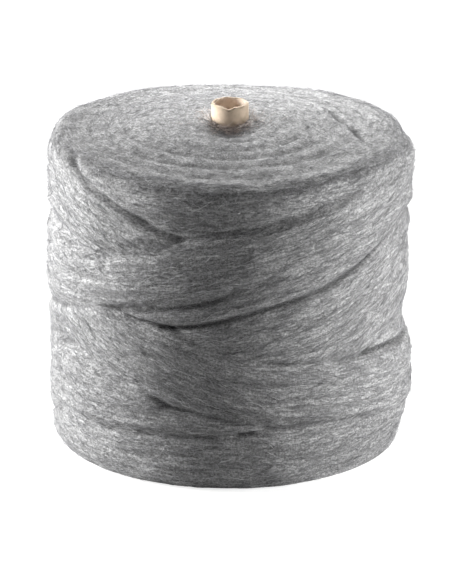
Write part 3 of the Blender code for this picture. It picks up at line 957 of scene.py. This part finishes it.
# %% Wool body and strand materials
# The felt tones are the body's own grey, kept darker as painted shade of the fibres further in
FELT_TONES = ((0.30, 0.17), (0.48, 0.29), (0.58, 0.36), (0.72, 0.48))
LOCK_TONES, RIB_TONES = ((0.3, 0.62), (0.7, 1.0)), ((0.35, 0.76), (0.50, 1.0), (0.65, 1.22))
# The speckle paints glints and dark flecks over the felt's colour
SPECKLE_AND_GLINT_TONES, SPECKLE_SCALE = ((0.36, 0.68), (0.50, 1.0), (0.64, 1.34)), 620.0
# The crease tones paint shade into the creases: the colour darkens where the crease mask rises
CREASE_SHADE_TONES = ((0.15, 1.0), (0.40, 0.40), (0.70, 0.05))
STREAK_WIDTH, STREAK_DEPTH, STREAK_BUMP = 0.0007, 0.0008, 0.15


def new_material(name, roughness, metallic=0.0, specular=0.5):
    """A material with its surface set, its tree to build on, and its Principled BSDF."""
    material = bpy.data.materials.new(name)
    material.use_nodes = True
    shader = material.node_tree.nodes["Principled BSDF"]
    shader.inputs["Roughness"].default_value = roughness
    shader.inputs["Metallic"].default_value = metallic
    shader.inputs["Specular IOR Level"].default_value = specular
    return material, material.node_tree, shader


def wool_material():
    """Felted steel wool: streaks along the ribbon, specks of painted glints, and painted shade
    in the creases.
    """
    material, tree, shader = new_material("steel wool body", 0.65, 0.03, 0.1)
    comb = add_node(tree, "ShaderNodeUVMap", uv_map="comb")
    streaks = add_node(tree, "ShaderNodeGroup", node_tree=STREAKS, Streak_Width=STREAK_WIDTH)
    tree.links.new(comb.outputs[0], streaks.inputs["Place"])
    place = add_node(tree, "ShaderNodeTexCoord").outputs["Object"]
    speckle_and_glint = add_node(tree, "ShaderNodeTexNoise", Scale=SPECKLE_SCALE, Detail=1.0)
    tree.links.new(place, speckle_and_glint.inputs["Vector"])
    crease_shade = add_node(tree, "ShaderNodeAttribute", attribute_name="crease_shade")
    tone = ramp(tree, streaks.outputs["Streaks"], FELT_TONES)
    # Locks and ribs vary the felt's tone, the speckle adds painted glints and dark flecks, and
    # the crease mask multiplies in painted shade
    for mask, tones in ((streaks.outputs["Locks"], LOCK_TONES),
                        (streaks.outputs["Ribs"], RIB_TONES),
                        (speckle_and_glint.outputs["Fac"], SPECKLE_AND_GLINT_TONES),
                        (crease_shade.outputs["Fac"], CREASE_SHADE_TONES)):
        tone = mix_colour(tree, 1.0, tone, ramp(tree, mask, tones), "MULTIPLY")
    tree.links.new(tone, shader.inputs["Base Color"])
    add_bump(tree, shader, streaks.outputs["Streaks"], STREAK_DEPTH, STREAK_BUMP)
    return material


def strand_material(name, tones):
    """Single fibres of steel, each with its own tone; a high tint gives a painted glint, and a
    tint lowered in creases gives painted shade.
    """
    material, tree, shader = new_material(name, 0.65, 0.08, 0.15)
    tint = add_node(tree, "ShaderNodeAttribute", attribute_name="tint")
    tree.links.new(ramp(tree, tint.outputs["Fac"], tones), shader.inputs["Base Color"])
    return material


# The last stop is a painted glint: the few strands with the highest tint turn nearly white
STEEL_AND_GLINT_TONES = ((0.0, (0.15, 0.15, 0.155)), (0.35, (0.27, 0.27, 0.28)),
               (0.88, (0.41, 0.41, 0.42)), (1.0, (0.72, 0.72, 0.72)))
FUZZ_TONES = ((0.0, (0.34, 0.27, 0.24)), (0.5, (0.58, 0.50, 0.46)), (1.0, (0.85, 0.80, 0.77)))
STRAND = strand_material("steel strand", STEEL_AND_GLINT_TONES)
wool.data.materials.append(wool_material())
fuzz.data.materials.append(strand_material("strand by the tube", FUZZ_TONES))
for piece in strands:
    piece.data.materials.append(STRAND)
print("wool materials made")

# %% [markdown]
# ## Cardboard
# Outside and on its rim the tube is smooth cream paper, a little soiled. Its bore shows
# browner board. Distance from the tube's middle decides which is which, so no face has to be
# picked by hand.

# %% Cardboard material
CREAM = ((0.3, (0.51, 0.41, 0.30)), (0.7, (0.65, 0.52, 0.40)))
BROWN = ((0.3, (0.62, 0.50, 0.41)), (0.7, (0.82, 0.71, 0.60)))
BOARD_DEPTH, GRAIN_SCALE, GRAIN_DEPTH, GRAIN_BUMP = 0.0004, 220.0, 0.0003, 0.5


def cardboard_material():
    """Cream paper outside and brown board inside, with a soft bump."""
    material, tree, shader = new_material("tube cardboard", 0.85)
    place = add_node(tree, "ShaderNodeTexCoord").outputs["Object"]
    flat = vector_maths(tree, "MULTIPLY", place, (1, 1, 0))
    reach = vector_maths(tree, "LENGTH", flat.outputs[0])
    outside = maths(tree, "GREATER_THAN", reach.outputs["Value"],
                    TUBE_RADIUS - TUBE_WALL + BOARD_DEPTH)
    noise = add_node(tree, "ShaderNodeTexNoise", Scale=GRAIN_SCALE, Detail=4.0)
    tree.links.new(place, noise.inputs["Vector"])
    grain = noise.outputs["Fac"]
    colour = mix_colour(tree, outside, ramp(tree, grain, BROWN), ramp(tree, grain, CREAM))
    tree.links.new(colour, shader.inputs["Base Color"])
    add_bump(tree, shader, grain, GRAIN_DEPTH, GRAIN_BUMP)
    return material


tube.data.materials.clear()
tube.data.materials.append(cardboard_material())
print("cardboard made")

# %% [markdown]
# ## Floor and lamps
# One broad lamp stands to the left, a weaker one to the right, and a small one behind and
# above the roll, so both sides and the rear of the top are bright and the middle of the front
# falls into shade. The camera doesn't see them. The white floor glows for the camera alone,
# and more with distance, so it still takes a soft shadow at the roll's foot.

# %% Floor and lamps
FLOOR_SIZE, FLOOR_GREY = 16, (0.45, 0.45, 0.45, 1.0)
FLOOR_GLOW, GLOW_REACH = 0.75, (0.25, 0.80)
LAMP_AIM = Vector((0, 0, 0.14))
# Name, place, side of the square and watts
LAMPS = (("left lamp", (-1.1, 0.12, 0.42), 0.6, 39),
         ("right lamp", (0.58, -0.19, 0.20), 0.32, 5.2),
         ("back lamp", (0.06, 0.35, 0.48), 0.26, 4.1))


def seen_rays(tree, operation):
    """1 for rays from the camera or through its mirrors and glass, and 0 for light."""
    path = tree.nodes.new("ShaderNodeLightPath").outputs
    seen = maths(tree, operation, path["Is Camera Ray"], path["Is Glossy Ray"])
    return maths(tree, operation, seen, path["Is Transmission Ray"])


def white_floor():
    """A plain floor that the camera sees as white, except where a shadow falls."""
    deselect_all()
    bpy.ops.mesh.primitive_plane_add(size=FLOOR_SIZE, location=(0, 0, 0))
    floor = named("floor")
    material, tree, shader = new_material("white floor", 0.9, specular=0.0)
    shader.inputs["Base Color"].default_value = FLOOR_GREY
    place = add_node(tree, "ShaderNodeTexCoord").outputs["Object"]
    reach = vector_maths(tree, "LENGTH", place)
    spread = add_node(tree, "ShaderNodeMapRange", From_Min=GLOW_REACH[0], From_Max=GLOW_REACH[1],
                      To_Min=FLOOR_GLOW)
    tree.links.new(reach.outputs["Value"], spread.inputs["Value"])
    glow = maths(tree, "MULTIPLY", seen_rays(tree, "ADD"), spread.outputs["Result"])
    shader.inputs["Emission Color"].default_value = (1.0, 1.0, 1.0, 1.0)
    tree.links.new(glow, shader.inputs["Emission Strength"])
    floor.data.materials.append(material)


def soft_lamp(name, place, size, watts):
    """A square area lamp that faces the middle of the roll."""
    deselect_all()
    bpy.ops.object.light_add(type="AREA", location=place)
    lamp = bpy.context.object
    lamp.name = name
    lamp.data.shape = "SQUARE"
    lamp.data.size = size
    lamp.data.energy = watts
    lamp.visible_camera = False
    aim = LAMP_AIM - Vector(place)
    lamp.rotation_euler = aim.to_track_quat("-Z", "Y").to_euler()


white_floor()
for lamp in LAMPS:
    soft_lamp(*lamp)
print("lamps", [light.name for light in bpy.data.lights])

# %% [markdown]
# ## World and camera
# To the camera, mirrors and glass the world is white, while the light that it gives stays
# low. A long lens, far off and a little above, keeps the roll's sides upright.

# %% World and camera
WORLD_LIGHT = 0.03
CAMERA_DISTANCE, CAMERA_ELEVATION = 5.5, 19.5
CAMERA_LENS = 411.0
CAMERA_TARGET = Vector((-0.0033, 0.0, 0.120))


def dim_world():
    """White to the eye, dim to the object."""
    world = bpy.data.worlds.new("white world")
    bpy.context.scene.world = world
    world.use_nodes = True
    tree = world.node_tree
    strength = maths(tree, "MAXIMUM", seen_rays(tree, "MAXIMUM"), WORLD_LIGHT)
    background = tree.nodes["Background"]
    background.inputs["Color"].default_value = (1.0, 1.0, 1.0, 1.0)
    tree.links.new(strength, background.inputs["Strength"])


def place_camera():
    """A long lens a little above the roll."""
    tilt = math.radians(CAMERA_ELEVATION)
    data = bpy.data.cameras.new("camera")
    data.lens = CAMERA_LENS
    data.clip_end = 60.0
    camera = bpy.data.objects.new("camera", data)
    bpy.context.collection.objects.link(camera)
    away = Vector((0, -math.cos(tilt), math.sin(tilt)))
    camera.location = CAMERA_TARGET + CAMERA_DISTANCE * away
    camera.rotation_euler = (math.pi / 2 - tilt, 0, 0)
    bpy.context.scene.camera = camera


dim_world()
place_camera()
bpy.context.scene.view_settings.view_transform = "Standard"
print("camera at", [round(value, 3) for value in bpy.context.scene.camera.location])
